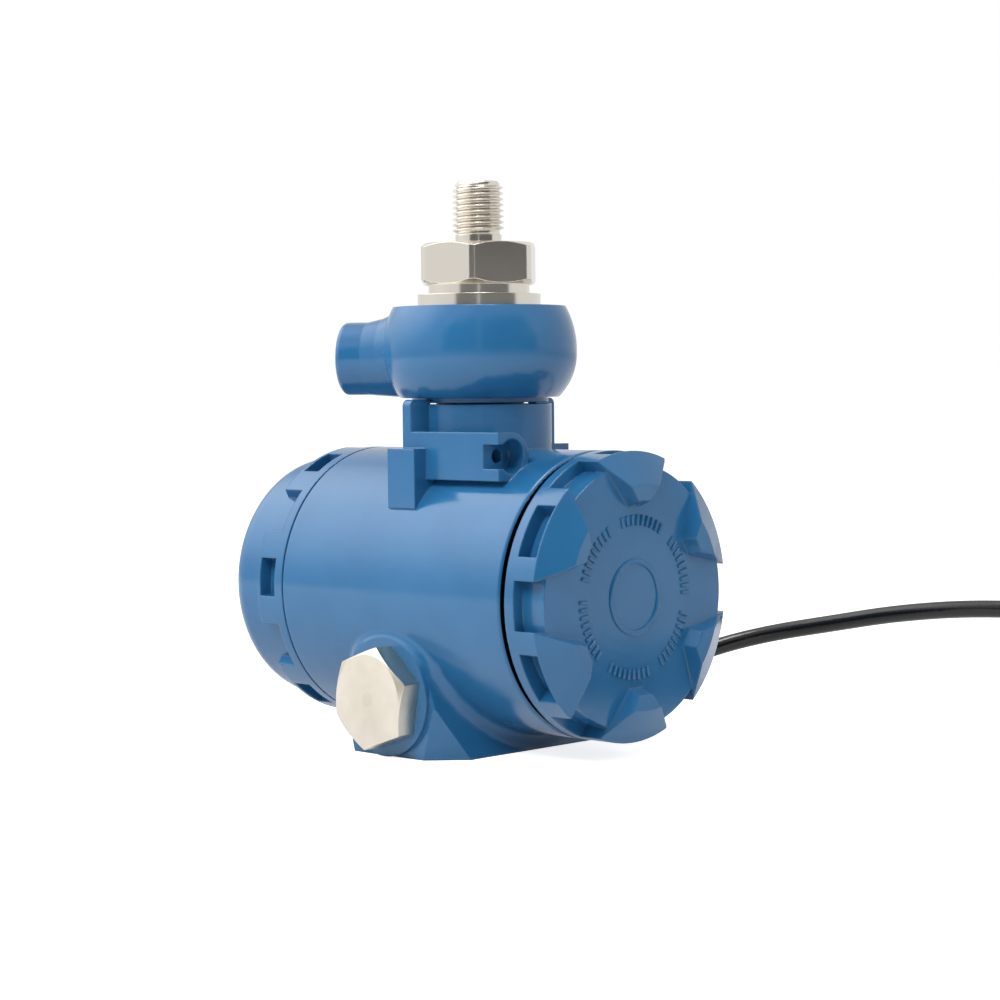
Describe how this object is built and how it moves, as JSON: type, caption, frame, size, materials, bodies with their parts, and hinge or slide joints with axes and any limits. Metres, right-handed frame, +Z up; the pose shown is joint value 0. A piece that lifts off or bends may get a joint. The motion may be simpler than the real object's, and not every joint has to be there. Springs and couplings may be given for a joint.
{
  "type": "pressure transmitter",
  "caption": "Field pressure transmitter: round cast housing with screw covers, swivelling sensor head, threaded process connection, conduit plug and cable gland.",
  "frame": {"origin": "on the neck's axis, in the plane of the foot that the housing stands on", "axes": "+Z up along the neck to the process connection, -Y out of the front cover, -X out of the plugged conduit entry, +X out of the cable gland"},
  "size_m": [0.1794, 0.2337, 0.1394],
  "materials": {
    "blue_paint": "satin-gloss epoxy powder paint on cast aluminium",
    "stainless": "turned stainless steel",
    "plated_brass": "nickel-plated brass",
    "black_rubber": "black nitrile rubber",
    "black_cable": "glossy black PVC jacket",
    "lead_insulation": "silicone-sleeved wire bundle",
    "lead_plug_plastic": "natural nylon connector",
    "potting_case": "black glass-filled nylon, potted",
    "green_laminate": "green solder mask on glass laminate",
    "trimmer_blue": "blue trimmer body",
    "trimmer_brass": "brass adjusting screw",
    "terminal_moulding": "black phenolic moulding",
    "zinc_screw": "zinc-plated steel",
    "black_steel": "blackened steel",
    "core_red": "red core insulation",
    "core_blue": "blue core insulation",
    "core_ends": "core insulation with tinned ferrules"
  },
  "bodies": {
    "base": {"housing": "blue_paint", "neck_set_screw": "black_steel", "electronics_module": "potting_case", "circuit_board": "green_laminate", "zero_trimmer_body": "trimmer_blue", "span_trimmer_body": "trimmer_blue", "terminal_block": "terminal_moulding", "module_screws": "zinc_screw", "block_screws": "zinc_screw", "terminal_screws": "zinc_screw", "terminal_clamps": "zinc_screw", "earth_screw": "zinc_screw", "earth_washer": "zinc_screw", "sensor_lead_plug": "lead_plug_plastic", "gland_body": "plated_brass", "gland_seal": "black_rubber", "gland_sleeve": "black_rubber", "cable_tail": "black_cable", "cable": "black_cable", "cable_coil": "black_cable", "cable_lead_out": "black_cable", "cable_end_cores": "core_ends", "positive_core": "core_red", "negative_core": "core_blue"},
    "front_seal_ring": {"front_cover_seal": "black_rubber"},
    "front_lid": {"front_cover": "blue_paint"},
    "rear_seal_ring": {"rear_cover_seal": "black_rubber"},
    "rear_lid": {"rear_cover": "blue_paint"},
    "sensor_head": {"sensor_housing": "blue_paint", "process_connection": "stainless", "sensor_capsule": "stainless", "sensor_lead": "lead_insulation", "connection_seal": "black_rubber", "neck_seal": "black_rubber"},
    "plug_seal_ring": {"conduit_plug_seal": "black_rubber"},
    "entry_plug": {"conduit_plug": "stainless"},
    "slip_ring": {"gland_slip_washer": "plated_brass"},
    "gland_nut": {"gland_cap": "plated_brass"},
    "zero_rotor": {"zero_trimmer_screw": "trimmer_brass"},
    "span_rotor": {"span_trimmer_screw": "trimmer_brass"}
  },
  "joints": [
    {"name": "front_cover_lift", "type": "slide", "parent": "base", "child": "front_seal_ring", "axis": [0, -1, 0], "range_m": [-0.0017, 0.0105]},
    {"name": "front_cover_turn", "type": "hinge", "parent": "front_seal_ring", "child": "front_lid", "pos_m": [0, -0.0407, 0.0386], "axis": [0, -1, 0], "range_deg": [-288, 1800]},
    {"name": "rear_cover_lift", "type": "slide", "parent": "base", "child": "rear_seal_ring", "axis": [0, 1, 0], "range_m": [0, 0.0105]},
    {"name": "rear_cover_turn", "type": "hinge", "parent": "rear_seal_ring", "child": "rear_lid", "pos_m": [0, 0.0362, 0.0386], "axis": [0, 1, 0], "range_deg": [0, 1800]},
    {"name": "sensor_swivel", "type": "hinge", "parent": "base", "child": "sensor_head", "pos_m": [0, 0, 0.084], "axis": [0, 0, 1], "range_deg": [-180, 180]},
    {"name": "plug_lift", "type": "slide", "parent": "base", "child": "plug_seal_ring", "axis": [-1, 0, 0], "range_m": [0, 0.0125]},
    {"name": "plug_turn", "type": "hinge", "parent": "plug_seal_ring", "child": "entry_plug", "pos_m": [-0.0338, 0, 0.0143], "axis": [-1, 0, 0], "range_deg": [0, 2880]},
    {"name": "gland_nut_lift", "type": "slide", "parent": "base", "child": "slip_ring", "axis": [1, 0, 0], "range_m": [0, 0.0062]},
    {"name": "gland_nut_turn", "type": "hinge", "parent": "slip_ring", "child": "gland_nut", "pos_m": [0.0418, 0, 0.0143], "axis": [1, 0, 0], "range_deg": [0, 1440]},
    {"name": "zero_trim", "type": "hinge", "parent": "base", "child": "zero_rotor", "pos_m": [0.007, -0.031, 0.0476], "axis": [0, -1, 0], "range_deg": [-135, 135]},
    {"name": "span_trim", "type": "hinge", "parent": "base", "child": "span_rotor", "pos_m": [-0.007, -0.031, 0.0476], "axis": [0, -1, 0], "range_deg": [-135, 135]}
  ],
  "couplings": [
    {"joint": "front_cover_lift", "follows": "front_cover_turn", "m_per_rad": 0.00031831},
    {"joint": "rear_cover_lift", "follows": "rear_cover_turn", "m_per_rad": 0.00031831},
    {"joint": "plug_lift", "follows": "plug_turn", "m_per_rad": 0.00023873},
    {"joint": "gland_nut_lift", "follows": "gland_nut_turn", "m_per_rad": 0.00023873}
  ]
}
